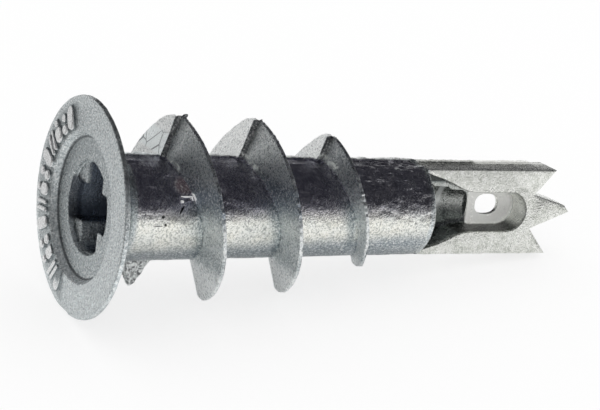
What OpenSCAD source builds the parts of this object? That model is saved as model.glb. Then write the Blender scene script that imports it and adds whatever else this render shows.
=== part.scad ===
// Self-drilling drywall anchor: one zinc die casting with a coarse right-hand thread.
// It is drawn on its own axis first: z runs from the face of the head to the point,
// x lies in the parting plane of the two die halves, and y is the way the dies open.
// The last step lays it down as it rests on a table, on the head's rim and its fins.

/* [Overall] */
// Length from the face of the head to the tip of the spike
length = 38; // [37.5:0.5:42]
// Diameter of the head
head_d = 15; // [14.6:0.1:17]

/* [Head] */
// Thickness of the head at its rim
rim_t = 0.3; // [0.25:0.05:0.5]
// Distance from the face to where the cone under the head meets the body
head_h = 2.2; // [1.8:0.1:2.8]
// Diameter of the shallow dish in the face, at the face
dish_d = 10.2; // [9.6:0.1:10.6]
// Diameter of the floor of the dish
dish_floor_d = 9.4; // [8:0.1:9.5]
// Depth of the dish
dish_depth = 0.55; // [0.3:0.05:0.7]
// Height of the raised bars on the face
mark_h = 0.15; // [0.1:0.05:0.3]
// Number of raised bars round the far half of the face
mark_count = 11; // [4:1:14]

/* [Driver recess and bore] */
// Diameter of the round seat that the cross-shaped recess is sunk into
seat_d = 6.3; // [5.8:0.1:6.5]
// Depth of the seat below the floor of the dish
seat_depth = 0.35; // [0.2:0.05:0.5]
// Width of the arms of the cross
arm_w = 2.6; // [2.55:0.05:2.8]
// Depth of the cross below the seat
cross_depth = 4.6; // [3:0.1:6]
// Span of the cross at its bottom
cross_floor_d = 5; // [4.4:0.1:5.4]
// Diameter of the bore that the screw cuts its thread in
bore_d = 3.6; // [3.2:0.1:3.6]
// Diameter of the narrow blind end of the bore
bore_end_d = 2.75; // [2.4:0.05:3]

/* [Body] */
// Diameter of the body under the head
body_d = 7.16; // [7:0.02:7.5]
// Diameter of the body where the blade begins
body_end_d = 6.56; // [6.5:0.02:6.9]
// Distance from the face to the end of the round body
body_end = 25.6; // [25:0.1:26.4]
// Width over the two flats along the parting line, under the head
flats_w = 7.1; // [7:0.02:7.14]

/* [Thread] */
// Diameter over the fins
fin_d = 12.66; // [11.5:0.1:13]
// Advance of the thread in one turn
pitch = 5.83; // [5.5:0.05:6]
// Advance of a fin across the near die half
near_rise = 2.33; // [2:0.05:2.9]
// Advance of a fin across the far die half
far_rise = 1.65; // [1.4:0.05:2.6]
// Step back from the end of a far fin to the start of the next near one
fin_step_z = 0.43; // [0.1:0.01:0.6]
// How much less the fins stand out in the middle of the far die half
far_drop = 1.1; // [0:0.05:1.2]
// Distance from the face to the first crest in the parting plane
first_crest = 6.45; // [6.2:0.05:6.8]
// Width of the crest of a fin
crest_w = 0.35; // [0.25:0.05:0.5]
// How far the crest has come in after two and a half turns
fin_taper = 2.33; // [2.2:0.05:2.6]

/* [Blade] */
// Width of the blade
blade_w = 6.2; // [6:0.05:6.4]
// Thickness of the blade
blade_t = 2.44; // [2.3:0.02:2.6]
// Width of the slot in the blade
slot_w = 2.8; // [2.4:0.1:3]
// Distance from the face to the round end of the slot
slot_end = 34.3; // [33.5:0.1:34.3]
// Thickness of the web that closes the back of the slot
web_t = 0.32; // [0.25:0.01:0.4]
// Length of the opening in the web
web_hole_l = 1.9; // [1.2:0.1:2.2]
// Width of the opening in the web
web_hole_w = 1.45; // [1:0.05:1.6]
// How far the notches lie behind the tip of the spike
notch_depth = 3.12; // [2.8:0.02:3.12]
// How far the tips of the teeth lie behind the tip of the spike
tooth_drop = 1.55; // [1.2:0.05:1.9]

/* [Parting line] */
// Thickness of the flash along the parting line
flash_t = 0.25; // [0.2:0.05:0.4]
// Reach of the flash from the axis, under the head
flash_reach = 3.68; // [3.6:0.02:3.9]
// Reach of the flash from the axis, at the end of the body
flash_end_reach = 3.36; // [3.3:0.02:3.6]

/* [Rest] */
// Roll of the anchor about its own axis, as it comes to rest
roll = -9.7; // [-180:0.1:180]
// Dip of its axis towards the point, as it comes to rest
dip = 6.8; // [3:0.1:9]

/* [Hidden] */
zinc = [0.62, 0.64, 0.66];
$fn = 96;
// How far sub-parts reach into each other
lap = 0.5;
// A length past the outside of the anchor
past = 20;

head_r = head_d / 2;
mark_r = dish_d / 2 + 0.3;
mark_l = 1.4;
mark_w = 0.7;
mark_first = 194;
mark_last = 330;
seat_z = dish_depth + seat_depth;
blade_y = blade_t / 2;
floor_y = web_t - blade_y;
notch_z = length - notch_depth;
tooth_z = length - tooth_drop;
slot_centre = slot_end - slot_w / 2;

// The thread: angles in degrees from the first crest in the parting plane
fin_r = fin_d / 2;
fin_start = -172.5;
fin_taper_end = 900;
fin_end = 990;
fin_step = 7.5;
fin_root_r = 2.7;
// Slope of the flanks at the side of the anchor, and in the parting plane
side_lean = 0.08;
parting_lean = 0.32;

// Distance from the face to the head-side edge of the crest. Each die half cuts its
// fins straight across its face, and they step over to each other at the parting line.
function crest_z(t) =
    let (
        turn = floor(t / 360),
        a = t - 360 * turn,
        near = near_rise * (1 - cos(a)) / 2,
        far = pitch - fin_step_z - far_rise * (1 - cos(a)) / 2
    )
    first_crest + pitch * turn + (a < 180 ? near : a > 180 ? far : (near + far) / 2);

// Radius of the crest: lower on the far half, and coming in towards the blade
function crest_r(t) =
    fin_r + far_drop * min(sin(t), 0) - (t < 0 ? 0 : fin_taper * pow(t / fin_taper_end, 3));

// Slope of both flanks: steep at the side, and laid back at the parting plane,
// so that each die half can leave the thread
function lean(t) = side_lean + (parting_lean - side_lean) * pow(cos(t), 2);

function fin_section(t) =
    let (r = crest_r(t), z = crest_z(t), spread = lean(t) * (r - fin_root_r))
    [[fin_root_r, z - spread], [r, z], [r, z + crest_w], [fin_root_r, z + crest_w + spread]];

function fin_points(angles) =
    [for (t = angles) for (p = fin_section(t)) [p[0] * cos(t), p[0] * sin(t), p[1]]];

// Triangles of a rod whose rings hold four points each: its sides, then its two ends
function rod_faces(rings) = [
    for (i = [0:rings - 2])
        for (k = [0:3])
            let (a = 4 * i + k, b = 4 * i + (k + 1) % 4)
            for (face = [[a, b, a + 4], [b, b + 4, a + 4]]) face,
    for (face = [[2, 1, 0], [3, 2, 0]]) face,
    for (face = [[0, 1, 2], [0, 2, 3]]) [for (k = face) 4 * (rings - 1) + k]
];

module fins() {
    angles = [fin_start:fin_step:fin_end];
    rings = (fin_end - fin_start) / fin_step + 1;
    polyhedron(points = fin_points(angles), faces = rod_faces(rings), convexity = 8);
}

// Thin flange with a shallow cone under it
module head() {
    rotate_extrude()
        polygon([[0, 0], [head_r, 0], [head_r, rim_t], [body_d / 2, head_h], [0, head_h]]);
}

// Raised bars round the far half of the face, in place of any lettering
module marks() {
    for (i = [0:mark_count - 1])
        rotate([0, 0, mark_first + (mark_last - mark_first) * i / (mark_count - 1)])
            translate([mark_r, -mark_w / 2, -mark_h])
                cube([mark_l, mark_w, mark_h + rim_t / 2]);
}

// Round body with two flats along the parting line, which bring it in to the blade
module body() {
    end_x = blade_w / 2 + 0.06;
    flats_angle = atan((flats_w / 2 - end_x) / body_end);
    difference() {
        translate([0, 0, head_h - lap])
            cylinder(h = body_end - head_h + lap, d1 = body_d, d2 = body_end_d);
        for (side = [0, 180])
            rotate([0, 0, side])
                translate([flats_w / 2, -past / 2, 0])
                    rotate([0, -flats_angle, 0])
                        cube([past, past, 2 * past]);
    }
}

// The far half of the body runs on as a cone that covers the blind end of the bore
module nose() {
    nose_l = 6.4;
    nose_end_d = blade_t + 0.2;
    nose_w = blade_w - 0.4;
    intersection() {
        translate([0, 0, body_end - lap])
            cylinder(h = nose_l + lap, d1 = body_end_d, d2 = nose_end_d);
        translate([-nose_w / 2, -past, body_end - 2 * lap])
            cube([nose_w, past, past]);
    }
}

// Flat plate that ends in two teeth with a spike between them
module blade() {
    tongue_x = body_end_d / 2 - 0.7;
    notch_x = blade_w / 2 - 1.85;
    shoulder_x = 0.5;
    shoulder_z = length - 0.45;
    rotate([90, 0, 0])
        linear_extrude(height = blade_t, center = true)
            polygon([
                [-tongue_x, body_end - lap],
                [tongue_x, body_end - lap],
                [tongue_x, body_end],
                [blade_w / 2, body_end],
                [blade_w / 2, tooth_z],
                [notch_x, notch_z],
                [shoulder_x, shoulder_z],
                [0, length],
                [-notch_x, notch_z],
                [-blade_w / 2, tooth_z],
                [-blade_w / 2, body_end],
                [-tongue_x, body_end]
            ]);
}

// Thin fin of metal squeezed out along the parting line, level with the back of the slot
module flash() {
    foot_x = blade_w / 2 - 1;
    blade_x = blade_w / 2 + flash_t / 2;
    step_z = 1;
    for (side = [0, 1])
        mirror([side, 0, 0])
            translate([0, floor_y + flash_t / 2, 0])
                rotate([90, 0, 0])
                    linear_extrude(height = flash_t)
                        polygon([
                            [foot_x, head_h],
                            [flash_reach, head_h],
                            [flash_end_reach, body_end - step_z],
                            [blade_x, body_end + step_z],
                            [blade_x, tooth_z - step_z],
                            [foot_x, tooth_z - step_z]
                        ]);
}

// Dish, round seat and cross-shaped driver recess, sunk into the face one below another
module driver_recess() {
    rotate_extrude()
        polygon([
            [0, -lap],
            [dish_d / 2, -lap],
            [dish_d / 2, 0],
            [dish_floor_d / 2, dish_depth],
            [seat_d / 2, dish_depth],
            [seat_d / 2, seat_z],
            [0, seat_z]
        ]);
    intersection() {
        translate([0, 0, seat_z - lap])
            cylinder(h = cross_depth + lap, d1 = seat_d, d2 = cross_floor_d);
        for (turn = [0, 90])
            rotate([0, 0, turn])
                translate([-past / 2, -arm_w / 2, 0])
                    cube([past, arm_w, past]);
    }
}

// Blind bore along the axis, in three steps
module screw_bore() {
    bore_end = slot_end - 3.7;
    step_l = 1.5;
    for (step = [0:2])
        cylinder(h = bore_end - step * step_l, d = bore_end_d + (bore_d - bore_end_d) * step / 2);
}

// Slot in the near side of the blade, flared where it meets the body, and the opening
// in the web behind it
module slot() {
    flare_x = 2.65;
    waist_x = 2.3;
    waist_z = body_end + 1.7;
    throat_z = body_end + 4.2;
    hole_z = slot_centre - 0.7;
    translate([0, floor_y, 0])
        rotate([90, 0, 180])
            linear_extrude(height = past) {
                translate([0, slot_centre])
                    circle(d = slot_w);
                translate([-slot_w / 2, body_end])
                    square([slot_w, slot_centre - body_end]);
                polygon([
                    [-flare_x, body_end],
                    [flare_x, body_end],
                    [waist_x, waist_z],
                    [slot_w / 2, throat_z],
                    [-slot_w / 2, throat_z],
                    [-waist_x, waist_z]
                ]);
            }
    translate([-web_hole_w / 2, -past / 2, hole_z - web_hole_l / 2])
        cube([web_hole_w, past, web_hole_l]);
}

module anchor_on_axis() {
    difference() {
        union() {
            head();
            marks();
            body();
            nose();
            blade();
            flash();
            fins();
        }
        driver_recess();
        screw_bore();
        slot();
    }
}

// Height over the axis, and place along the table, of a point at radius r and angle t
function height(r, t, z) = r * cos(t + roll) * cos(dip) - z * sin(dip);
function along(r, t, z) = r * cos(t + roll) * sin(dip) + z * cos(dip);

// Lowest point: of the head's rim, of the lower tooth, or of the crest of a fin
tooth_r = norm([blade_w / 2, blade_y]);
lowest = min(
    height(head_r, 180 - roll, rim_t),
    height(tooth_r, 180 + atan(2 * blade_y / blade_w), tooth_z),
    min([for (t = [fin_start:fin_step:fin_taper_end]) height(crest_r(t), t, crest_z(t) + crest_w)])
);
// Rearmost point, at the lowest of the bars or of the rim, and foremost, at the spike
rear = min(along(head_r, 180 - roll, 0), along(mark_r + mark_l, mark_first, -mark_h));
front = along(blade_y, -90, length);

module anchor() {
    color(zinc)
        translate([-(rear + front) / 2, 0, -lowest])
            rotate([0, 90 + dip, 0])
                rotate([0, 0, 180 + roll])
                    anchor_on_axis();
}

anchor();
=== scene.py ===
"""Self-drilling drywall anchor: one zinc die casting, as its two die halves leave it."""

import bmesh
import bpy
import mathutils
import numpy as np
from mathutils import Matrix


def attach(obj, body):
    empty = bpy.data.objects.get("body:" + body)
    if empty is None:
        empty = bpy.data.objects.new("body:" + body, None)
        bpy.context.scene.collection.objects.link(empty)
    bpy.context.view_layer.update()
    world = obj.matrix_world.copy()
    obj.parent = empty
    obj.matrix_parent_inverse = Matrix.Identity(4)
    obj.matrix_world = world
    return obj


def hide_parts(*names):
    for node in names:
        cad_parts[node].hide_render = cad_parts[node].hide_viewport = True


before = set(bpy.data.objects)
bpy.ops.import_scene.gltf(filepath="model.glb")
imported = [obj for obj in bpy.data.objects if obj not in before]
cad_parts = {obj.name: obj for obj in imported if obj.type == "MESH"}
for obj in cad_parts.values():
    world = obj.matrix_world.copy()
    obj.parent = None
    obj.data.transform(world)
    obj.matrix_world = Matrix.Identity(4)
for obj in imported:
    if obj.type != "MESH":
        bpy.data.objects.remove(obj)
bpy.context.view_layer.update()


# ---------------------------------------------------------------- the body
# The body is a tapered round bar of cast zinc, with a flat along each side where the
# two die halves part. Everything is worked out in millimetres on the anchor's own axis:
# z from the face of the head to the point, x in the parting plane, y towards the near die.
BODY_FOOT, BODY_END = 1.6, 25.6
BAR_RADIUS, BAR_TAPER = 3.58, 0.3
FLAT_REACH, FLAT_TAPER = 3.55, 0.39
FLAT_EDGE_SHARPNESS = 60
FLAT_HALF_TURN = 26
SEAM_PLACE, SEAM_HEIGHT, SEAM_HALF_WIDTH = 0.78, 0.035, 0.07
MARK_RADIUS = 3.5
END_ROUNDING = 0.1


def grain(points, wavelength, seed, waves=22):
    """Smooth noise of about unit spread: a sum of sine waves in random directions,
    each roughly one wavelength long."""
    rng = np.random.default_rng(seed)
    heading = rng.normal(size=(waves, 3))
    pace = 2 * np.pi / wavelength * rng.uniform(0.6, 1.5, (waves, 1))
    heading *= pace / np.linalg.norm(heading, axis=1)[:, None]
    phase = rng.uniform(0, 2 * np.pi, waves)
    return np.sin(points @ heading.T + phase).sum(-1) * np.sqrt(2 / waves)


def smoothstep(low, high, value):
    """0 below low, 1 above high, and an S-shaped rise between them."""
    share = np.clip((value - low) / (high - low), 0, 1)
    return share * share * (3 - 2 * share)


def bell(distance, half_width):
    """Bell curve: 1 at no distance, and 1/e at half a width."""
    return np.exp(-((distance / half_width) ** 2))


def bar_radius(z):
    """Radius of the round part of the body: a straight taper."""
    return BAR_RADIUS - BAR_TAPER * z / BODY_END


def flat_reach(z):
    """Distance of the two flats from the axis: a straight taper, steeper than the bar's."""
    return FLAT_REACH - FLAT_TAPER * z / BODY_END


def around(radius, angle, z):
    """Points at a radius, an angle from x towards y, and a height, as one array."""
    radius, angle, z = np.broadcast_arrays(radius, angle, z)
    return np.stack([radius * np.cos(angle), radius * np.sin(angle), z], -1)


def closed_shell(name, rings):
    """Closed solid from rings[i, k]: each ring of points is joined to the next one by
    quads, and the first and the last ring are filled."""
    count, size = rings.shape[:2]
    index = np.arange(count * size).reshape(count, size)
    ahead = np.roll(index, -1, 1)
    quads = np.stack([index[:-1], ahead[:-1], ahead[1:], index[1:]], -1).reshape(-1, 4)
    faces = quads.tolist() + [index[0][::-1].tolist(), index[-1].tolist()]
    mesh = bpy.data.meshes.new(name)
    mesh.from_pydata(rings.reshape(-1, 3), [], faces)
    work = bmesh.new()
    work.from_mesh(mesh)
    bmesh.ops.remove_doubles(work, verts=work.verts, dist=1e-5)
    if work.calc_volume(signed=True) < 0:
        bmesh.ops.reverse_faces(work, faces=work.faces)
    work.to_mesh(mesh)
    work.free()
    piece = bpy.data.objects.new(name, mesh)
    bpy.context.scene.collection.objects.link(piece)
    return piece


def marks_on(places, angle, z):
    """Sum of soft dents and lumps on the bar. Each place is an angle in degrees, a height,
    half a length round the bar, half a length along it, a twist and a depth; its shape
    is a bell curve over the distance from its centre."""
    depths = np.zeros_like(z)
    for turn, height, half_round, half_along, twist, depth in places:
        u = np.radians((np.degrees(angle) - turn + 180) % 360 - 180) * MARK_RADIUS
        v = z - height
        c, s = np.cos(np.radians(twist)), np.sin(np.radians(twist))
        depths = depths + depth * bell(u * c + v * s, half_round) * bell(v * c - u * s, half_along)
    return depths


CASTING_FLAWS = [
    (86, 4.3, 0.5, 0.5, 20, -0.03), (82, 3.5, 0.1, 0.16, -20, -0.06), (76, 6.5, 0.5, 0.45, 0, -0.06),
    (60, 22.6, 0.5, 0.07, -25, 0.05), (68, 22.95, 0.35, 0.09, -20, -0.06), (94, 24.05, 0.3, 0.1, 10, -0.1),
    (104, 24.2, 0.26, 0.09, -10, -0.09), (118, 23.4, 0.07, 0.4, -25, -0.06), (62, 18.2, 0.06, 0.5, 6, 0.04),
    (80, 25.0, 0.09, 0.09, 0, 0.07), (83, 25.2, 0.1, 0.12, 0, -0.08), (24, 24.0, 0.12, 0.25, 0, 0.09),
    (20, 22.4, 0.1, 0.6, 4, 0.05), (27, 21.7, 0.08, 0.5, -6, -0.05), (32, 23.2, 0.08, 0.4, 5, 0.05),
    (33, 5.1, 0.05, 0.3, 0, 0.04), (97, 12.3, 0.2, 0.14, 30, -0.05), (110, 11.2, 0.16, 0.2, 0, -0.04),
]

on_flat = np.arange(-FLAT_HALF_TURN, FLAT_HALF_TURN, 0.85)
on_round = np.arange(FLAT_HALF_TURN, 180 - FLAT_HALF_TURN, 1.9)
turn = np.radians(np.concatenate([on_flat, on_round, on_flat + 180, on_round + 180]))
rounded_end = BODY_END - np.array([0.12, 0.05, 0.015, 0])
levels = np.concatenate([np.arange(BODY_FOOT, BODY_END - 0.15, 0.19), rounded_end])
level, angle = np.meshgrid(levels, turn, indexing="ij")

# The smaller of the round radius and the flat's, with a soft edge between the two.
flat_r = np.minimum(flat_reach(level) / np.maximum(np.abs(np.cos(angle)), 0.05), 9)
both = np.exp(-FLAT_EDGE_SHARPNESS * bar_radius(level)) + np.exp(-FLAT_EDGE_SHARPNESS * flat_r)
bar_r = -np.log(both) / FLAT_EDGE_SHARPNESS
bar_at = around(bar_r, angle, level)
upper_side = bar_at[..., 0] > 0
bar_r = bar_r + 0.01 * grain(bar_at, 2.2, 3) + 0.006 * grain(bar_at, 0.8, 4)
bar_r = bar_r + SEAM_HEIGHT * bell(bar_at[..., 1] - SEAM_PLACE, SEAM_HALF_WIDTH) * upper_side
wrinkled = smoothstep(19.5, 21.5, level) * smoothstep(3.0, 1.2, np.abs(bar_at[..., 1] - 0.8)) * upper_side
bar_r = bar_r + 0.04 * wrinkled * grain(bar_at * [1, 1, 0.5], 0.5, 5)
bar_r = bar_r + marks_on(CASTING_FLAWS, angle, level)
bar_r = bar_r - END_ROUNDING * smoothstep(BODY_END - 0.13, BODY_END, level) ** 2
anchor = closed_shell("anchor_casting", around(bar_r, angle, level))


# ---------------------------------------------------------------- the thread
# The thread is a row of thin blades, cut half into each die. The near die's blades run
# straight across it, and the far die's meet them at the parting line a little out of step,
# so that each blade ends there in a small rough wall.
PITCH = 5.83
FIRST_CREST = 6.45
CREST_SWEEP = 2.33
FIN_REACH, FIN_FALL, FIN_TURNS = 6.33, 2.33, 2.5
CREST_WIDTH = 0.25
FIN_FOOT = 2.9
FIN_SECTION = np.array([0, 0.15, 0.21, 0.26, 0.33, 0.42, 0.54, 0.68, 0.82, 0.93, 0.985])[None, :]
SAIL_ENDS = [6.17, 12.2, 18.1, 24.0]
SAIL_SLOPES = [0.24, 0.35, 0.45, 0.45]
SAIL_DRAFTS = [0.04, 0.1, 0.15, 0.15]


def fin_reach(degrees):
    """Radius of the crest after so many degrees from the first one: it comes in by the
    cube of the way to the point."""
    return FIN_REACH - FIN_FALL * np.clip(degrees / (360 * FIN_TURNS), 0, None) ** 3


def fin_shell(name, t, reach, head_side, crest, point_side, beads):
    """Blade of the thread: the head-side flank from root to crest, a rounded crest with
    beads of metal along it, and the point-side flank back to the root."""
    r = FIN_FOOT + (reach - FIN_FOOT) * FIN_SECTION
    rough = 0.022 * grain(np.stack([reach * np.cos(t), reach * np.sin(t), crest], -1), 0.42, beads)
    top = [(-0.045, 0.0), (-0.008, 0.03), (0.0, 0.075), (-0.003, CREST_WIDTH - 0.05), (-0.035, CREST_WIDTH)]
    rim = [around(reach + rough * (inset > -0.04) + inset, t, crest + z) for inset, z in top]
    flank_up = around(r, t, head_side(r))
    flank_down = around(r, t, point_side(r))[:, ::-1]
    return closed_shell(name, np.concatenate([flank_up] + rim + [flank_down], 1))


def near_fin(number):
    """Near half of one turn. The crest runs straight across; its last part and its root
    lie in one plane that leans towards the point, and its first edge is a rough wall."""
    degrees = np.concatenate([np.arange(-0.8, 8, 0.55), np.arange(8, 180.9, 1.15)])[:, None]
    t = np.radians(degrees)
    reach = fin_reach(degrees + 360 * number) - 0.07 * bell(degrees - 160, 8)
    if number == 0:
        reach = reach + 0.1 * bell(degrees - 2.5, 2.5)
    lean = 0.08 + 0.22 * np.cos(t) ** 2
    line = FIRST_CREST + PITCH * number + CREST_SWEEP * (1 - np.cos(t)) / 2 + 0.12 * bell(degrees, 14)

    def flank(radius):
        """Height of the head-side flank: the later of the straight and the tilted plane,
        with a soft edge between them, and the rough wall cut back at the first edge."""
        x, y = radius * np.cos(t), radius * np.sin(t)
        straight = line - lean * (reach - radius)
        tilted = 9.55 + 5.86 * number + 0.364 * (-x - reach) - 0.21 * y
        both = np.log(np.exp(18 * (straight - line)) + np.exp(18 * (tilted - line))) / 18 + line
        face = np.where(degrees > 90, both, straight)
        wall = smoothstep(0.22, 0.0, y) * (x > 0)
        torn = 0.05 * grain(around(radius, t, line), 0.3, 61 + number) * smoothstep(0.4, 0.1, y) * (x > 0)
        return face - 0.32 * wall + torn * smoothstep(0, 0.1, y)

    root = bar_radius(line)
    crest = flank(reach)

    def head_side(r):
        """The flank, with a small fillet that falls away from the root."""
        return flank(r) - 0.07 * np.exp(-np.clip(r - root, 0, None) / 0.08)

    def point_side(r):
        """A plain slope from the crest, with a fillet at the root."""
        slope = (lean + 0.05) * (reach - r)
        fillet = 0.2 * np.exp(-np.clip(r - root, 0, None) / 0.2)
        return np.maximum(line, crest) + CREST_WIDTH + slope + fillet

    return fin_shell(f"near_fin_{number}", t, reach, head_side, crest, point_side, 11 + number)


def far_fin(number, first, last):
    """Far half of one turn: lower in its middle than the near half, and with one flat
    sail as it comes up to the parting line. The first one is a thick, torn stub."""
    degrees = np.linspace(first, last, int((last - first) / 1.9))[:, None]
    t = np.radians(degrees)
    reach = fin_reach(degrees + 360 * (number - 1)) + 1.1 * np.sin(t) * smoothstep(0, 30, 360 - degrees)
    stub = smoothstep(225, 195, degrees) * (number == 0)
    reach = reach - 0.6 * stub - 0.12 * smoothstep(189, 180, degrees)
    end = SAIL_ENDS[number]
    start = 4.4 + PITCH * number
    rim = fin_reach(360.0 * number)

    def flank(radius):
        """Height of the head-side flank: the straight half turn, which passes over into
        the flat sail on the upper side."""
        x, y = radius * np.cos(t), radius * np.sin(t)
        straight = start + (end - start) * (1 + np.cos(t)) / 2 - 0.2 * (reach - radius)
        sail = end - SAIL_SLOPES[number] * (rim - x) - SAIL_DRAFTS[number] * y
        torn = 0.07 * grain(around(radius, t, straight), 0.4, 72) * stub
        return straight + (sail - straight) * smoothstep(0.2, 2.2, x) + torn

    root = bar_radius(end)
    crest = flank(reach)

    def head_side(r):
        """The flank, with a small fillet that falls away from the root."""
        return flank(r) - 0.1 * np.exp(-np.clip(r - root, 0, None) / 0.12)

    def point_side(r):
        """A plain slope from the crest, steeper and rough on the stub."""
        rough = stub * 0.06 * grain(around(r, t, crest), 0.5, 71)
        return crest + CREST_WIDTH + (0.25 + 0.42 * stub) * (reach - r) + rough

    return fin_shell(f"far_fin_{number}", t, reach, head_side, crest, point_side, 31 + number)


def weld(tool, cut=False):
    """Joins a closed solid to the casting, or cuts it out of it, and removes the tool."""
    step = anchor.modifiers.new("step", "BOOLEAN")
    step.operation = "DIFFERENCE" if cut else "UNION"
    step.solver = "MANIFOLD"
    step.object = tool
    result = bpy.data.meshes.new_from_object(anchor.evaluated_get(bpy.context.evaluated_depsgraph_get()))
    anchor.modifiers.clear()
    old, anchor.data = anchor.data, result
    bpy.data.meshes.remove(old)
    bpy.data.meshes.remove(tool.data)


for number in range(3):
    weld(near_fin(number))
for number, first, last in ((0, 184, 360), (1, 180, 360), (2, 180, 360), (3, 180, 268)):
    weld(far_fin(number, first, last))


# ---------------------------------------------------------------- the head
# The head is a thin round flange on a shallow cone, with a dish in its face and a round
# seat in the dish. A band of raised pads, ribs and studs stands round its far half.
RELIEF_PLACES = np.arange(199.5, 336, 11.2)
RELIEF_MIDDLE = 6.05
RELIEF_LOWEST, RELIEF_HIGHEST = 0.08, 0.25
FACE_STEP = 0.065


def relief(radius, angle):
    """Height of the raised band at polar places on the face: solid pads, pairs of slanted
    ribs, pads with a stud and pairs of studs, each with a top that leans a little upwards."""
    rng = np.random.default_rng(31)
    degrees = np.degrees(angle) % 360
    up = radius * np.cos(angle)
    height = np.zeros_like(radius)

    def edge(distance, width=0.05):
        """1 inside a form, 0 outside it, and a steep side between."""
        return smoothstep(width, -width, distance)

    def pad(u, v):
        """Distance from the side of a pad with round corners."""
        return ((np.abs(u) ** 3 + np.abs(v) ** 3) ** (1 / 3) - 1) * 0.45

    for number, place in enumerate(RELIEF_PLACES):
        across = (degrees - place - rng.uniform(-1, 1)) * np.pi / 180 * radius
        middle = rng.uniform(5.95, 6.1)
        half_across, half_out = rng.uniform(0.4, 0.46), rng.uniform(0.78, 0.92)
        u, v = across / half_across, (radius - middle) / half_out
        kind = number % 4
        if kind == 0:
            form = edge(pad(u, v))
        elif kind == 1:
            slanted = np.abs(across - 0.12 * v) - 0.24
            form = edge(np.hypot(slanted, half_out * np.clip(np.abs(v) - 0.75, 0, None)) - 0.15)
        elif kind == 2:
            stud = np.hypot(across, radius - middle - 0.58) - 0.27
            form = np.maximum(edge(pad(u, (v + 0.34) / 0.62)), edge(stud))
        else:
            form = edge(np.hypot(across, radius - middle - 0.42 * np.sign(v)) - np.where(v > 0, 0.31, 0.35))
        lean = rng.uniform(0.08, 0.13) * (up - RELIEF_MIDDLE * np.cos(np.radians(place)))
        top = np.clip(rng.uniform(0.19, 0.24) - lean, RELIEF_LOWEST, RELIEF_HIGHEST)
        height = np.maximum(height, form * top)
    return height * np.minimum(1, 0.6 + 0.5 * smoothstep(195, 225, degrees))


seat_and_dish = [
    (0.4, 0.9), (1.6, 0.9), (3.0, 0.9), (3.11, 0.88), (3.15, 0.82), (3.17, 0.62), (3.2, 0.57), (3.27, 0.55),
    (3.7, 0.55), (4.2, 0.55), (4.6, 0.55), (4.7, 0.54), (4.76, 0.5), (4.82, 0.42), (5.0, 0.12),
    (5.05, 0.05), (5.1, 0.02), (5.15, 0.0)]
face = [(r, 0.0) for r in np.arange(5.21, 7.16, FACE_STEP)]
rim_and_cone = [
    (7.3, 0.0), (7.39, 0.008), (7.45, 0.035), (7.475, 0.08), (7.485, 0.2), (7.5, 0.25), (7.485, 0.3),
    (7.42, 0.33), (7.3, 0.37), (6.6, 0.68), (5.8, 1.06), (5.0, 1.44), (4.5, 1.67), (4.1, 1.87), (3.88, 2.0),
    (3.74, 2.13), (3.64, 2.3), (3.57, 2.6), (3.3, 2.75), (2.0, 2.75)]
profile = np.array(seat_and_dish + face + rim_and_cone)
angle = np.radians(np.concatenate([np.arange(-22, 184, 1.4), np.arange(184, 338, 0.6)]))[None, :]
ring_r = profile[:, :1] + 0 * angle
ring_z = profile[:, 1:] + 0 * angle
on_face = (profile[:, 1:] < 0.13) & (ring_r > 4.95) & (ring_r < 7.2)
degrees = np.degrees(angle) % 360

# The two halves of the rim don't quite meet: one is cut back a little at each joint.
cut_back = 0.15 * bell(degrees - 180, 13) * (degrees > 180)
cut_back = cut_back + 0.05 * smoothstep(14, 17, degrees) * (degrees < 180)
at_rim = smoothstep(7.25, 7.4, ring_r)
wavy = 0.012 * (1 + grain(around(ring_r, angle, 0 * ring_z), 1.1, 51) / 2)
ring_r = ring_r - at_rim * (cut_back + wavy)
ring_z = ring_z - np.where(on_face, relief(ring_r, angle), 0)
uneven = 0.006 * grain(around(ring_r, angle, 0 * ring_z), 1.5, 52)
ring_z = ring_z + np.where(on_face, uneven, 0) * smoothstep(7.1, 6.9, ring_r)
weld(closed_shell("head", around(ring_r, angle, ring_z)))




# ---------------------------------------------------------------- the blade
# The blade is a flat plate that ends in two teeth and a spike. The far half of the body
# runs on behind it as a cone. Thin flash stands along its edges and along the body.
BLADE_FOOT, BLADE_SHOULDER = 25.0, 25.62
BLADE_HALF, NECK_HALF = 3.1, 2.55
BLADE_FACE = 1.22
TOOTH_TIP, GULLET_FLOOR, GULLET_PLACE = 36.45, 34.88, 1.25
SPIKE_TIP = 38.0


def plate(outline, levels_y, insets, name):
    """Plate solid: copies of a closed outline in x and z, one at each y, each moved
    inwards by its inset along the corners' bisectors."""
    ahead = np.roll(outline, -1, 0) - outline
    ahead /= np.linalg.norm(ahead, axis=1)[:, None]
    behind = np.roll(ahead, 1, 0)
    area = np.cross(outline, np.roll(outline, -1, 0)).sum()
    normal = np.stack([-(ahead[:, 1] + behind[:, 1]), ahead[:, 0] + behind[:, 0]], -1) * np.sign(area)
    normal /= np.linalg.norm(normal, axis=1)[:, None]
    cosine = (normal * np.stack([-ahead[:, 1], ahead[:, 0]], -1) * np.sign(area)).sum(-1)
    normal /= np.clip(cosine, 0.5, 1)[:, None]
    rings = []
    for y, inset in zip(levels_y, insets):
        moved = outline + normal * inset
        rings.append(np.stack([moved[:, 0], np.full(len(moved), y), moved[:, 1]], -1))
    return closed_shell(name, np.array(rings))


def divided(corners, step):
    """Closed polyline through the corners, with a point about every step along it."""
    corners = np.asarray(corners, float)
    parts = []
    for a, b in zip(corners, np.roll(corners, -1, 0)):
        count = max(1, int(np.linalg.norm(b - a) / step))
        parts.append(a + (b - a) * np.linspace(0, 1, count, endpoint=False)[:, None])
    return np.concatenate(parts)


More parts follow.
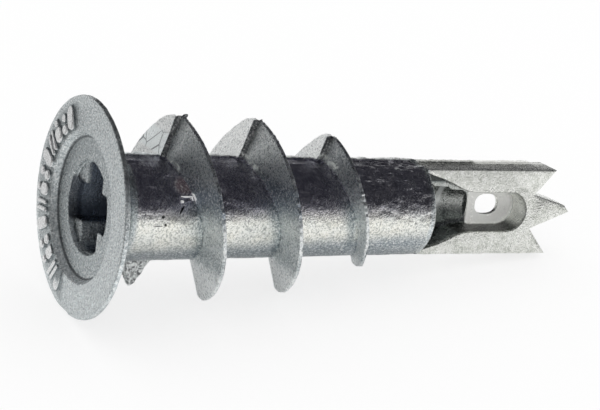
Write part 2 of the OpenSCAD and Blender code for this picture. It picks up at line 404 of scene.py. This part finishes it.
blade_outline = divided([
    (-NECK_HALF, BLADE_FOOT), (NECK_HALF, BLADE_FOOT), (NECK_HALF, BLADE_SHOULDER),
    (BLADE_HALF, BLADE_SHOULDER), (BLADE_HALF, TOOTH_TIP), (GULLET_PLACE, GULLET_FLOOR),
    (0.5, 37.55), (0.0, SPIKE_TIP),
    (-GULLET_PLACE, GULLET_FLOOR), (-BLADE_HALF, TOOTH_TIP), (-BLADE_HALF, BLADE_SHOULDER),
    (-NECK_HALF, BLADE_SHOULDER)], 0.35)
ripple = 0.012 * grain(np.column_stack([blade_outline, np.zeros(len(blade_outline))]), 0.7, 81)
blade_outline[:, 0] += ripple * (blade_outline[:, 1] > 25.7) * (blade_outline[:, 1] < 36)
blade_levels = [-BLADE_FACE, -1.2, -1.14, 1.12, 1.19, BLADE_FACE]
weld(plate(blade_outline, blade_levels, [0.09, 0.03, 0, 0, 0.03, 0.1], "blade"))

nose_angle = np.radians(np.linspace(180, 360, 60))[None, :]
nose_z = np.array([25.0, 25.6, 27, 29, 31, 31.7, 32.0])[:, None]
nose_r = np.array([3.27, 3.26, 2.85, 2.25, 1.65, 1.38, 1.1])[:, None]
nose = around(nose_r, nose_angle, nose_z)
nose[..., 0] = np.clip(nose[..., 0], -2.9, 2.9)
weld(closed_shell("nose", nose))


def flash(name, side, first, last, base, reach, middle, half, uneven, seed):
    """Ribbon of squeezed-out metal along one side: an upright ridge whose height, place
    and width wander. Base, reach and middle are given at both ends."""
    z = np.arange(first, last, 0.16)[:, None]
    share = (z - first) / (last - first)
    path = np.concatenate([0 * z, 0 * z, z], 1)
    wander = grain(path, 1.1, seed)[:, None]
    centre = middle[0] + (middle[1] - middle[0]) * share + uneven * grain(path, 1.7, seed + 1)[:, None]
    high = reach[0] + (reach[1] - reach[0]) * share
    ends = smoothstep(0, 0.5, z - first) * smoothstep(0, 0.5, last - z)
    high = np.minimum(high - uneven * (1 - wander * 0.5), high) * ends + (base[0] + 0.3) * (1 - ends)
    low = base[0] + (base[1] - base[0]) * share
    width = half * (1 + 0.22 * grain(path, 0.9, seed + 2)[:, None])
    top = np.array([
        (1.0, -0.5), (1.0, -0.05), (0.93, -0.012), (0.8, 0.0), (-0.7, -0.03), (-0.9, -0.07), (-1.0, -0.5)])
    y = centre + width * top[:, 0]
    x = high + top[:, 1] + 0.012 * grain(np.stack([y, y, z + 0 * y], -1), 0.35, seed + 3)
    x = np.concatenate([x, low + 0 * width, low + 0 * width], 1)
    y = np.concatenate([y, centre - width, centre + width], 1)
    return closed_shell(name, np.stack([side * x, y, z + 0 * x], -1))


weld(flash("top_flash", 1, 2.2, 25.9, (2.9, 2.6), (3.76, 3.44), (-0.42, -0.78), 0.17, 0.05, 91))
weld(flash("under_flash", -1, 2.2, 25.9, (2.9, 2.6), (3.68, 3.34), (-0.42, -0.78), 0.14, 0.04, 94))
weld(flash("top_blade_flash", 1, 25.4, 35.6, (2.6, 2.6), (3.29, 3.27), (-0.97, -0.97), 0.15, 0.015, 97))
weld(flash("under_blade_flash", -1, 25.4, 35.6, (2.6, 2.6), (3.2, 3.2), (-0.97, -0.97), 0.13, 0.02, 99))


def lump(name, centre, half, seed, toward=(0, 0, 1)):
    """Small rounded lump of metal: an egg with half sizes sideways, up and lengthways,
    made uneven and turned so that its length points the given way."""
    polar = np.radians(np.linspace(1, 179, 11))[:, None]
    spin = np.linspace(0, 2 * np.pi, 17)[:-1][None, :]
    ball = around(np.sin(polar), spin, np.cos(polar))
    ball = ball * (1 + 0.15 * grain(ball, 1.5, seed))[..., None] * half
    length = np.array(toward) / np.linalg.norm(toward)
    sideways = np.cross([0, 1, 0], length)
    sideways /= np.linalg.norm(sideways)
    axes = np.array([sideways, np.cross(length, sideways), length])
    return closed_shell(name, np.array(centre) + ball @ axes)


weld(lump("flash_bubble", (3.55, -0.5, 4.05), (0.2, 0.22, 0.3), 5))
weld(lump("crest_burr", (6.38, 0.1, 6.86), (0.13, 0.12, 0.22), 6))
weld(lump("second_crest_burr", (6.16, 0.1, 12.6), (0.07, 0.1, 0.12), 7))
weld(lump("root_burr", (1.68, 3.2, 6.15), (0.05, 0.11, 0.42), 8))
weld(lump("root_hook", (1.56, 3.24, 6.56), (0.05, 0.1, 0.14), 8, (-0.8, 0.3, 0.4)))
weld(lump("root_bead", (1.35, 3.3, 5.83), (0.1, 0.12, 0.12), 9))
weld(lump("root_tear", (0.97, 3.42, 5.94), (0.075, 0.24, 0.5), 10, (-0.57, 0.15, -0.36)), cut=True)
weld(lump("root_tear_mouth", (1.42, 3.28, 6.25), (0.11, 0.22, 0.34), 11), cut=True)

# Three pits in the bar, each given by its turn in degrees, its height and two half sizes.
PITS = ((84, 4.5, 0.11, 0.14), (93, 4.72, 0.12, 0.09), (94.5, 4.1, 0.025, 0.5))
PIT_RADIUS, PIT_HALF_DEPTH = 3.52, 0.13
for number, (pit_turn, pit_height, half_round, half_along) in enumerate(PITS):
    spot = around(PIT_RADIUS, np.radians(pit_turn), pit_height)
    weld(lump("pit", spot, (half_round, PIT_HALF_DEPTH, half_along), 12 + number), cut=True)


# ---------------------------------------------------------------- the recesses
# A cross-shaped recess for the driver goes down into the head. From its bottom a blind
# bore runs on to the slot in the blade, where a core pin left a round, stepped groove.
CROSS_CORNER = 0.12
CROSS_LEVELS = ((0.6, 3.1, 1.36), (0.88, 3.08, 1.34), (1.0, 3.02, 1.3), (5.3, 2.5, 1.22), (5.5, 2.4, 1.1))
BORE_RADIUS = 1.8
SLOT_HALF, SLOT_ROUND_START = 1.4, 32.9
OPENING_MIDDLE, OPENING_HALF_LENGTH, OPENING_HALF_WIDTH = 32.25, 0.95, 0.74


def cross_outline(half_span, half_width, corner):
    """Closed outline of a cross: four arms with round ends on the span circle."""
    arms = []
    end = np.arcsin(half_width / half_span)
    tip = np.linspace(-end, end, 7)
    points = np.stack([half_span * np.cos(tip), half_span * np.sin(tip)], -1)
    inner = np.array([
        (half_width + corner, half_width), (half_width + corner * 0.3, half_width + corner * 0.3),
        (half_width, half_width + corner)])
    arm = np.concatenate([points, inner])
    for quarter in range(4):
        c, s = np.cos(quarter * np.pi / 2), np.sin(quarter * np.pi / 2)
        arms.append(arm @ np.array([[c, s], [-s, c]]))
    return np.concatenate(arms)


cross_rings = []
for z, half_span, half_width in CROSS_LEVELS:
    flat = cross_outline(half_span, half_width, CROSS_CORNER)
    cross_rings.append(np.column_stack([flat, np.full(len(flat), z)]))
weld(closed_shell("driver_cross", np.array(cross_rings)), cut=True)

bore_z = np.array([0.5, 27.35, 27.5, 27.65, 28.8, 28.95, 29.1, 30.1, 30.4, 30.55, 30.6])[:, None]
bore_r = np.array([BORE_RADIUS, BORE_RADIUS, 1.74, 1.62, 1.58, 1.52, 1.42, 1.38, 1.25, 0.95, 0.3])[:, None]
weld(closed_shell("bore", around(bore_r, np.linspace(0, 2 * np.pi, 97)[:-1][None, :], bore_z)), cut=True)

half_turn = np.linspace(0, np.pi, 25)
slot_round = np.stack([SLOT_HALF * np.cos(half_turn), SLOT_ROUND_START + SLOT_HALF * np.sin(half_turn)], -1)
flare = np.array([
    (2.88, 25.5), (2.6, 26.3), (2.38, 27.1), (2.02, 28.0), (1.68, 28.7), (1.49, 29.3), (1.41, 30.0)])
slot_outline = np.concatenate([flare, slot_round, (flare * [-1, 1])[::-1]])
slot_levels = [-0.9, -0.86, -0.72, -0.5, 1.0, 1.14, 1.2, 1.6]
weld(plate(slot_outline, slot_levels, [0.16, 0.08, 0.04, 0.03, 0.0, -0.02, -0.06, -0.3], "slot"), cut=True)

# The opening in the slot's floor is a rectangle with round corners.
edge = np.linspace(0, 2 * np.pi, 33)[:-1]
opening = np.stack([
    OPENING_HALF_WIDTH * np.sign(np.cos(edge)) * np.abs(np.cos(edge)) ** 0.8,
    OPENING_MIDDLE + OPENING_HALF_LENGTH * np.sign(np.sin(edge)) * np.abs(np.sin(edge)) ** 0.8], -1)
opening_levels = [-2.6, -1.02, -0.93, -0.89, -0.6]
weld(plate(opening, opening_levels, [0.02, 0.0, -0.03, -0.09, -0.3], "web_opening"), cut=True)


# ---------------------------------------------------------------- laying it down
# The anchor lies on the rim of its head and the crest of its thread, with its point
# dipping towards the table. The casting keeps its places on its own axis as an attribute.
DIP, ROLL = np.radians(6.8), np.radians(-9.7)
HEAD_CENTRE = np.array([-18.378, 0.0, 7.5581])
MILLIMETRE = 0.001
SHARP_EDGE = 32

along = np.array([np.cos(DIP), 0, -np.sin(DIP)])
above = np.array([np.sin(DIP), 0, np.cos(DIP)])
side = np.array([0, -1.0, 0])
rows = np.array([
    np.cos(ROLL) * above + np.sin(ROLL) * side, np.cos(ROLL) * side - np.sin(ROLL) * above, along])
flat = np.empty(len(anchor.data.vertices) * 3)
anchor.data.vertices.foreach_get("co", flat)
anchor.data.attributes.new("own_axis", "FLOAT_VECTOR", "POINT").data.foreach_set("vector", flat)
laid = (flat.reshape(-1, 3) @ rows + HEAD_CENTRE) * MILLIMETRE
anchor.data.vertices.foreach_set("co", laid.ravel())
anchor.data.update()
anchor.data.shade_smooth()
anchor.data.set_sharp_from_angle(angle=np.radians(SHARP_EDGE))
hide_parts("anchor")
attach(anchor, "root")


# ---------------------------------------------------------------- the cast skin
# Bare zinc as it leaves the die: bright grey and finely pitted. The body's upper side is
# darkened by a painted violet shade, torn metal is bright with painted highlights, and
# squeezed-out edges are duller. Much other light and shade is painted in, zone by zone.
# Each zone is a mask of 0 to 1, worked out from the place on the anchor's own axis.
def node(kind, **sockets):
    """New node in the tree that is being built. Each socket named is set to a value, or
    linked where an output is given; a leading underscore names a property instead."""
    made = nodes.new(kind)
    for name, value in sockets.items():
        if name.startswith("_"):
            setattr(made, name[1:], value)
    for name, value in sockets.items():
        if name.startswith("_"):
            continue
        place = int(name[1:]) if name[1:].isdigit() else name.replace("_", " ")
        if isinstance(value, bpy.types.NodeSocket):
            links.new(value, made.inputs[place])
        else:
            made.inputs[place].default_value = value
    return made


def ramp(value, *stops):
    """Colour ramp driven by a value, with stops of (place, colour)."""
    made = node("ShaderNodeValToRGB", Fac=value)
    while len(made.color_ramp.elements) < len(stops):
        made.color_ramp.elements.new(0.5)
    for element, (place, colour) in zip(made.color_ramp.elements, stops):
        element.position = place
        element.color = (*colour, 1) if isinstance(colour, tuple) else (colour, colour, colour, 1)
    return made.outputs["Color"]


def noise(scale, detail=2.0, roughness=0.5, at=None):
    """Noise of about 0 to 1, with so many features a millimetre."""
    place = own if at is None else at
    made = node("ShaderNodeTexNoise", Scale=scale, Detail=detail, Roughness=roughness, Vector=place)
    return made.outputs["Fac"]


def blend(factor, first, second, kind="MIX"):
    """Colour mix of two colours by a factor."""
    made = node("ShaderNodeMix", _data_type="RGBA", _blend_type=kind, i0=factor)
    for index, colour in ((6, first), (7, second)):
        if isinstance(colour, bpy.types.NodeSocket):
            links.new(colour, made.inputs[index])
        else:
            made.inputs[index].default_value = (*colour, 1)
    return made.outputs[2]


def reckon(kind, first, second=0.0):
    """Plain arithmetic on one or two numbers."""
    return node("ShaderNodeMath", _operation=kind, i0=first, i1=second).outputs[0]


def product(first, *others):
    """Product of numbers; of masks, 1 only where every one of them is 1."""
    for other in others:
        first = reckon("MULTIPLY", first, other)
    return first


def total(first, *others):
    """Sum of numbers."""
    for other in others:
        first = reckon("ADD", first, other)
    return first


def span(value, low, high, start=0.0, end=1.0):
    """Smooth change from start to end as the value goes from low to high."""
    made = node(
        "ShaderNodeMapRange", _interpolation_type="SMOOTHSTEP", Value=value, From_Min=low, From_Max=high,
        To_Min=start, To_Max=end)
    return made.outputs["Result"]


def window(value, low, full_low, full_high, high):
    """1 between the two inner values, 0 beyond the two outer ones, and smooth between."""
    return product(span(value, low, full_low), span(value, high, full_high))


def tint(under, mask, strength, colour):
    """The colour underneath with another laid over it where the mask is 1, so strongly."""
    return blend(product(mask, strength), under, colour)


zinc = bpy.data.materials.new("cast_zinc")
zinc.use_nodes = True
nodes, links = zinc.node_tree.nodes, zinc.node_tree.links
own = node("ShaderNodeAttribute", _attribute_name="own_axis").outputs["Vector"]
own_x, own_y, own_z = node("ShaderNodeSeparateXYZ", Vector=own).outputs
off_middle = reckon("ABSOLUTE", own_x)
radius = reckon("SQRT", total(product(own_x, own_x), product(own_y, own_y)))
broad = noise(0.55, 3, 0.6)
blotch = noise(2.2, 4, 0.65)
sand = noise(7.5, 3, 0.72)

# The main regions. Lift is the height of a place above the round bar of the body.
lift = total(radius, -BAR_RADIUS, product(own_z, BAR_TAPER / BODY_END))
in_thread = window(own_z, 2.4, 2.9, 25.0, 25.3)
on_fin = product(span(lift, 0.04, 0.16), in_thread)
on_bar = product(span(lift, 0.14, 0.04), in_thread)
near_side = product(on_fin, span(own_y, 0.1, 0.5))
far_side = product(on_fin, span(own_y, 0.0, -0.05))
blade = span(own_z, 25.4, 26.0)
trough = span(off_middle, 2.95, 2.85)

# The clean metal: cool grey, whiter on the blade and warmer on the bar.
COOL_ZINC, WARM_ZINC = (0.83, 0.9, 0.92), (1.0, 0.99, 0.9)
GREY_TONES = ((0.3, 0.7), (0.5, 0.88), (0.7, 1.0))
BLADE_TONES = ((0.34, (0.66, 0.68, 0.62)), (0.6, (0.99, 1.0, 0.95)))
base = blend(1.0, ramp(blotch, *GREY_TONES), COOL_ZINC, "MULTIPLY")
base = blend(blade, base, ramp(blotch, *BLADE_TONES))
base = tint(base, on_bar, span(broad, 0.35, 0.65, 0.6, 1.0), WARM_ZINC)

# The bar: a painted violet shade along its upper side, a brown stain by the torn burr, a
# painted blue-grey shade on its underside, and painted shade where the near fins' roots
# reach the bar.
VIOLET_PAINTED_SHADE, BROWN_STAIN = (0.52, 0.5, 0.66), (0.2, 0.1, 0.11)
UNDERSIDE_SHADE, ROOT_SHADE = (0.35, 0.41, 0.46), (0.24, 0.31, 0.34)
STAIN_PLACE = (2.3, 2.65, 6.1)
UNDERSIDE_SLOPE = -0.05
ROOT_SLOPE, FIRST_ROOT = 0.333, 7.6
high_side = product(on_bar, span(own_x, -0.2, 1.2))
base = tint(base, high_side, span(own_z, 17.0, 21.0, 0.8, 0.6), VIOLET_PAINTED_SHADE)
from_stain = node("ShaderNodeVectorMath", _operation="DISTANCE", i0=own, i1=STAIN_PLACE)
stain = product(span(from_stain.outputs["Value"], 0.9, 0.4), on_bar, span(lift, 0.06, 0.02))
base = tint(base, stain, 0.8, BROWN_STAIN)
# Painted shade: the underside of the bar is tinted blue-grey.
low_side = product(on_bar, span(total(own_x, product(own_z, UNDERSIDE_SLOPE)), -1.8, -3.0))
base = tint(base, low_side, 0.9, UNDERSIDE_SHADE)
from_root = reckon("FLOORED_MODULO", total(own_z, product(own_x, ROOT_SLOPE), -FIRST_ROOT), PITCH)
rooted = product(span(from_root, 4.5, 5.5), span(own_z, 19.5, 19.0), span(own_y, 0.0, 0.5))
rooted = product(rooted, on_bar, span(own_x, 1.8, 0.8))
base = tint(base, rooted, 0.75, ROOT_SHADE)

# The fins: lightened with painted light, white on their far flanks and their lobes; painted
# blue-grey shade across the middle of the near flanks, painted shade above the lobes and on
# top of the third one, and dark on the rough walls at the parting line.
FIN_PAINTED_LIGHT, FAR_PAINTED_LIGHT = (0.97, 1.0, 1.0), (0.98, 1.0, 0.99)
BLUE_PAINTED_SHADE, GREEN_PAINTED_SHADE, GREY_PAINTED_SHADE = (0.21, 0.265, 0.34), (0.27, 0.34, 0.36), (0.35, 0.38, 0.42)
WALL_GREY = (0.18, 0.185, 0.19)
base = tint(base, on_fin, 0.75, FIN_PAINTED_LIGHT)
base = tint(base, far_side, 0.95, FAR_PAINTED_LIGHT)
# Painted shade on the near flanks: blue-grey across the middle, green-grey above the lobes, grey on top of
# the third fin.
middle = product(span(own_x, 3.6, 2.2), span(own_x, -0.2, 1.5), span(own_z, 13, 18, 0.85, 0.2))
base = tint(base, near_side, middle, BLUE_PAINTED_SHADE)
base = tint(base, product(near_side, window(own_x, -3.9, -2.8, -2.5, -1.5)), 0.5, GREEN_PAINTED_SHADE)
third_top = product(near_side, span(own_z, 16.5, 17.5), span(own_x, 3.2, 4.0))
base = tint(base, third_top, 0.6, GREY_PAINTED_SHADE)
lobe = product(near_side, span(own_x, -2.7, -4.1))
base = tint(base, lobe, 0.9, FIN_PAINTED_LIGHT)
wall = product(window(own_y, 0.0, 0.02, 0.2, 0.3), span(own_x, 3.5, 3.7), in_thread)
base = tint(base, wall, 0.85, WALL_GREY)

# The floor of the dish is greyer than the face. Over the whole casting lies fine grain:
# dark grains in the clean metal's low places, and white ones on its high places.
DISH_GREY = (0.4, 0.46, 0.48)
DARK_GRAIN, WHITE_GRAIN, HOLLOW_SHADE = (0.15, 0.165, 0.175), (1.0, 1.0, 0.98), (0.04, 0.045, 0.05)
dish_floor = product(window(own_z, 0.5, 0.54, 0.6, 0.7), span(radius, 3.15, 3.2))
base = tint(base, dish_floor, 0.6, DISH_GREY)
grained = span(blade, 0.0, 1.0, 0.64, 0.3)
base = tint(base, grained, span(sand, 0.4, 0.52, 0.9, 0.0), DARK_GRAIN)
base = blend(span(sand, 0.5, 0.62, 0.0, 0.8), base, WHITE_GRAIN)
# Painted shade: dents in the bar are laid near-black.
hollow = product(span(lift, -0.05, -0.11), span(radius, 3.1, 3.2), on_bar, span(off_middle, 2.9, 2.7))
base = tint(base, hollow, 0.9, HOLLOW_SHADE)

# The raised band on the head: painted highlight on the tops, and painted shade between the forms.
RELIEF_GAP_SHADE, PAINTED_HIGHLIGHT = (0.16, 0.19, 0.2), (1.0, 1.0, 1.0)
among = product(window(radius, 5.1, 5.25, 6.95, 7.1), window(own_z, -0.13, -0.1, 0.05, 0.1))
among = product(among, span(own_y, 0.9, 0.6), span(total(own_y, product(own_x, 0.06)), -1.3, -1.9))
base = tint(base, among, span(own_z, -0.01, -0.04, 0.45, 0.85), RELIEF_GAP_SHADE)
base = tint(base, span(own_z, -0.1, -0.15), 0.8, PAINTED_HIGHLIGHT)

# Broken metal: painted light on the flash's uneven top, a painted highlight on the burr's lip,
# cracks in the far stub and in the sliver at the rim's top, and scattered pits.
RIBBON_PAINTED_LIGHT, CRACK_DARK, PIT_DARK = (0.8, 0.83, 0.8), (0.08, 0.085, 0.09), (0.12, 0.12, 0.13)
ribbon = product(span(own_x, 2.9, 3.1), span(lift, 0.04, 0.1), span(radius, 3.95, 3.85), in_thread)
ribbon = product(ribbon, span(noise(3.6, 3, 0.6), 0.48, 0.62))
base = blend(ribbon, base, RIBBON_PAINTED_LIGHT)
lip = product(window(own_x, 1.2, 1.25, 1.85, 1.9), window(own_z, 5.65, 5.7, 6.8, 6.85))
lip = product(lip, window(lift, 0.02, 0.04, 0.2, 0.3))
base = blend(lip, base, PAINTED_HIGHLIGHT)
torn = product(span(own_z, 6.2, 6.0), span(own_y, 0.0, -0.1), span(own_x, -3.5, -3.8), in_thread)
rim_sliver = product(window(own_y, 0.0, 0.1, 1.9, 2.1), span(own_x, 7.0, 7.1), span(own_z, 0.0, 0.03))
cracked = product(total(torn, rim_sliver), span(noise(4.6, 3, 0.65), 0.5, 0.42))
base = tint(base, cracked, 0.85, CRACK_DARK)
speck = node("ShaderNodeTexVoronoi", Scale=2.6, Vector=own)
pit = product(span(speck.outputs["Distance"], 0.13, 0.06), span(noise(0.8), 0.5, 0.62))
base = tint(base, pit, 0.75, PIT_DARK)

# The first fin's far sail has a smooth white patch with dark cracks in it.
PATCH_WHITE, FINE_CRACK = (0.95, 1.0, 1.0), (0.1, 0.11, 0.12)
patch = product(span(own_z, 6.5, 6.3), span(own_y, 0.0, -0.1), window(own_x, 3.4, 3.7, 4.9, 5.3), in_thread)
base = blend(patch, base, PATCH_WHITE)
tiles = node("ShaderNodeTexVoronoi", _feature="DISTANCE_TO_EDGE", Scale=0.6, Vector=own)
base = tint(base, product(span(tiles.outputs["Distance"], 0.03, 0.01), patch), 0.9, FINE_CRACK)

# The driver cross is dark inside with painted shade, but for one facet of its lower arm, and
# its far arm is darker still. The rim's edge carries painted shade in its upper part, and the
# corner where the dish's floor meets its wall is dark too.
RECESS_SHADE, ARM_SHADE = (0.13, 0.16, 0.21), (0.05, 0.06, 0.08)
RIM_EDGE_SHADE, CORNER_DARK = (0.09, 0.095, 0.1), (0.06, 0.07, 0.08)
inside = product(span(radius, 3.14, 3.06), window(own_z, 0.93, 1.3, 25.5, 25.65))
facet = product(span(own_x, -1.2, -1.6), span(own_y, -0.7, -1.05))
base = tint(base, inside, span(facet, 0.0, 1.0, 0.9, 0.0), RECESS_SHADE)
far_arm = product(window(own_z, 0.56, 0.6, 1.3, 1.6), span(radius, 3.22, 3.18), span(own_y, -1.2, -1.8))
base = tint(base, product(far_arm, span(off_middle, 1.6, 1.35)), 0.85, ARM_SHADE)
rim_edge = product(window(own_z, 0.01, 0.05, 0.5, 0.7), span(radius, 7.2, 7.35), span(own_x, 1.5, 4.0))
rim_edge = product(rim_edge, span(own_y, 0.0, 0.6))
base = tint(base, rim_edge, span(blotch, 0.35, 0.6, 0.9, 0.6), RIM_EDGE_SHADE)
corner = product(window(radius, 4.64, 4.71, 4.78, 4.84), window(own_z, 0.3, 0.4, 0.65, 0.7))
base = tint(base, corner, 0.8, CORNER_DARK)

# The slot: painted shade on its flare, with the core pin's turning marks laid in as white
# rings that are painted highlight, painted light on the end wall and floor, and painted
# shade on the lower wall and ledge. The land along the blade's upper edge is grey.
FLARE_SHADE, RING_HIGHLIGHT = (0.24, 0.27, 0.27), (0.9, 0.93, 0.92)
END_WALL_PAINTED_LIGHT, FLOOR_PAINTED_LIGHT = (0.95, 0.97, 0.93), (1.0, 1.0, 0.97)
LOWER_WALL_SHADE, LEDGE_SHADE, LAND_GREY = (0.06, 0.063, 0.06), (0.05, 0.055, 0.055), (0.35, 0.36, 0.34)
flared = product(window(own_z, 25.5, 25.7, 30.5, 30.6), span(own_y, 1.15, 0.85), trough)
groove = product(span(radius, 1.84, 1.81), span(own_x, -1.0, 0.0))
base = tint(base, flared, span(groove, 0.0, 1.0, 0.8, 0.45), FLARE_SHADE)
ring_bands = node("ShaderNodeTexWave", _wave_type="BANDS", _bands_direction="Z", Vector=own)
ring_bands.inputs["Scale"].default_value = 0.16
ring_bands.inputs["Distortion"].default_value = 0.6
ringed = product(span(ring_bands.outputs["Fac"], 0.75, 0.95), span(radius, 1.83, 1.8))
ringed = product(ringed, window(own_z, 25.6, 25.8, 29.5, 30.0), window(own_x, -0.9, 0.2, 1.3, 1.75))
base = tint(base, ringed, 0.6, RING_HIGHLIGHT)
slot_wall = product(window(own_y, -0.84, -0.78, 1.05, 1.2), trough)
# Painted light: the slot's end wall is laid near-white.
base = tint(base, product(slot_wall, span(own_z, 30.6, 30.8)), 0.7, END_WALL_PAINTED_LIGHT)
# Painted shade: the slot's lower wall and the ledge are laid near-black.
lower_wall = product(slot_wall, span(own_z, 28.6, 29.4))
base = tint(base, lower_wall, span(own_x, -0.7, -1.25, 0.0, 0.97), LOWER_WALL_SHADE)
ledge = product(window(own_z, 25.5, 25.7, 29.4, 29.6), span(radius, 1.85, 1.95), span(own_y, -0.7, -0.8))
base = tint(base, product(ledge, trough), 0.9, LEDGE_SHADE)
# Painted light: the slot's floor is laid near-white.
slot_floor = product(span(own_z, 30.5, 30.7), window(own_y, -1.0, -0.9, -0.7, -0.4))
base = tint(base, slot_floor, 0.95, FLOOR_PAINTED_LIGHT)
base = tint(base, product(window(own_x, 3.0, 3.05, 3.14, 3.17), blade), 0.5, LAND_GREY)

# Everything is bare metal, but where the skin is rough or torn it scatters the light as
# paint does. On the slot floor, the far flanks, the lobes and the burr's lip the lost shine
# also lets the painted light laid there show. Each term is a zone and how far its shine is lost.
squeezed = product(span(own_x, 3.13, 3.17), blade)
dish_wall = product(window(own_z, 0.02, 0.06, 0.5, 0.54), span(radius, 5.3, 5.2))
upper_flat = product(blade, window(own_x, 1.3, 2.0, 3.0, 3.15), span(own_y, 1.1, 1.18))
drawn_out = node("ShaderNodeVectorMath", _operation="MULTIPLY", i0=own, i1=(1.0, 1.0, 0.22))
streaks = span(noise(3.4, 3, 0.7, drawn_out.outputs["Vector"]), 0.58, 0.7)
streaks = product(streaks, high_side, span(own_x, 1.2, 2.4))
matt = total(
    product(squeezed, 0.7), product(span(own_z, 0.92, 0.5), 0.2), product(dish_wall, 0.08),
    product(slot_floor, 0.85), product(far_side, 0.6), product(upper_flat, 0.45), product(lip, 0.85),
    product(lobe, 0.65), product(streaks, span(own_z, 19.0, 20.5, 0.16, 0.4)), product(stain, 0.25),
    product(ribbon, 0.4), product(ringed, 0.5))
roughness = total(span(blotch, 0.3, 0.7, 0.17, 0.3), product(on_bar, -0.02), product(on_fin, 0.08))

# The grain stands up by hundredths of a millimetre, and the pits go in.
grit = total(product(sand, span(on_bar, 0, 1, 0.05, 0.034)), product(blotch, 0.012), product(pit, -0.02))
bump = node("ShaderNodeBump", Strength=1.0, Distance=MILLIMETRE, Height=grit)
skin = nodes["Principled BSDF"]
links.new(base, skin.inputs["Base Color"])
links.new(reckon("SUBTRACT", 1.0, matt), skin.inputs["Metallic"])
links.new(roughness, skin.inputs["Roughness"])
links.new(bump.outputs["Normal"], skin.inputs["Normal"])
anchor.data.materials.clear()
anchor.data.materials.append(zinc)


# ---------------------------------------------------------------- table, light and camera
# A white paper table in a photo tent that is white all round below eye level, and dark
# overhead and on the camera's left.
TABLE_CORNERS = [(-0.036, -0.03, 0), (0.06, -0.06, 0), (0.09, 0.07, 0), (-0.006, 0.07, 0)]
PAPER_WHITE, PAPER_GLOW = (0.93, 0.93, 0.93, 1), 0.75
table_mesh = bpy.data.meshes.new("table")
table_mesh.from_pydata(TABLE_CORNERS, [], [(0, 1, 2, 3)])
table = bpy.data.objects.new("table", table_mesh)
bpy.context.scene.collection.objects.link(table)
paper = bpy.data.materials.new("white_paper")
paper.use_nodes = True
nodes, links = paper.node_tree.nodes, paper.node_tree.links
sheet = nodes["Principled BSDF"]
sheet.inputs["Base Color"].default_value = PAPER_WHITE
sheet.inputs["Roughness"].default_value = 1.0
sheet.inputs["Specular IOR Level"].default_value = 0.0
glow = node("ShaderNodeEmission", Color=(1, 1, 1, 1), Strength=1.0)
seen = product(node("ShaderNodeLightPath").outputs["Is Camera Ray"], PAPER_GLOW)
mixed = node("ShaderNodeMixShader", i0=seen, i1=sheet.outputs["BSDF"], i2=glow.outputs["Emission"])
links.new(mixed.outputs["Shader"], nodes["Material Output"].inputs["Surface"])
table.data.materials.append(paper)

# The tent: its brightness by height, times its brightness from the left. Only mirror
# rays see it; everything else is lit by an even white.
TENT_BY_HEIGHT = (
    (0.0, 0.6), (0.12, 0.62), (0.3, 1.0), (0.35, 1.0), (0.385, 0.12), (0.5, (0.024, 0.024, 0.031)),
    (1.0, (0.018, 0.018, 0.024)))
TENT_FROM_LEFT = ((0.0, 0.05), (0.06, 0.08), (0.3, 0.75), (0.6, 1.0))
EVEN_LIGHT = (1.06, 1.06, 1.06)
world = bpy.data.worlds.new("studio")
bpy.context.scene.world = world
world.use_nodes = True
nodes, links = world.node_tree.nodes, world.node_tree.links
way = node("ShaderNodeSeparateXYZ", Vector=node("ShaderNodeTexCoord").outputs["Generated"])
height = node("ShaderNodeMapRange", Value=way.outputs["Z"], From_Min=-0.5, From_Max=0.9)
by_height = ramp(height.outputs["Result"], *TENT_BY_HEIGHT)
from_left = ramp(span(way.outputs["X"], -1.0, 0.0), *TENT_FROM_LEFT)
tent = blend(1.0, by_height, from_left, "MULTIPLY")
light = blend(node("ShaderNodeLightPath").outputs["Is Glossy Ray"], EVEN_LIGHT, tent)
links.new(light, nodes["Background"].inputs["Color"])
nodes["Background"].inputs["Strength"].default_value = 1.0

# The camera stands on the near side, 16 degrees above the anchor's own y, and is turned
# from square-on towards the point.
VIEW_HEIGHT, VIEW_TURN = np.radians(16), np.radians(28.203)
EYE_ALONG, EYE_UP, EYE_OUT = -70.97, 0.18, 163.19
elevation = VIEW_HEIGHT - ROLL
out = np.sin(elevation) * above + np.cos(elevation) * side
up = np.cos(elevation) * above - np.sin(elevation) * side
back = np.cos(VIEW_TURN) * out - np.sin(VIEW_TURN) * along
right = np.cos(VIEW_TURN) * along + np.sin(VIEW_TURN) * out
eye = (HEAD_CENTRE + EYE_ALONG * along + EYE_UP * up + EYE_OUT * out) * MILLIMETRE
camera = bpy.data.objects.new("camera", bpy.data.cameras.new("camera"))
bpy.context.scene.collection.objects.link(camera)
turned = mathutils.Matrix(np.column_stack([right, up, back]).tolist()).to_4x4()
turned.translation = mathutils.Vector(eye.tolist())
camera.matrix_world = turned
camera.data.lens = 161.0
camera.data.sensor_width = 36.0
camera.data.clip_start = 0.01
camera.data.clip_end = 10
bpy.context.scene.camera = camera
bpy.context.scene.view_settings.view_transform = "Standard"
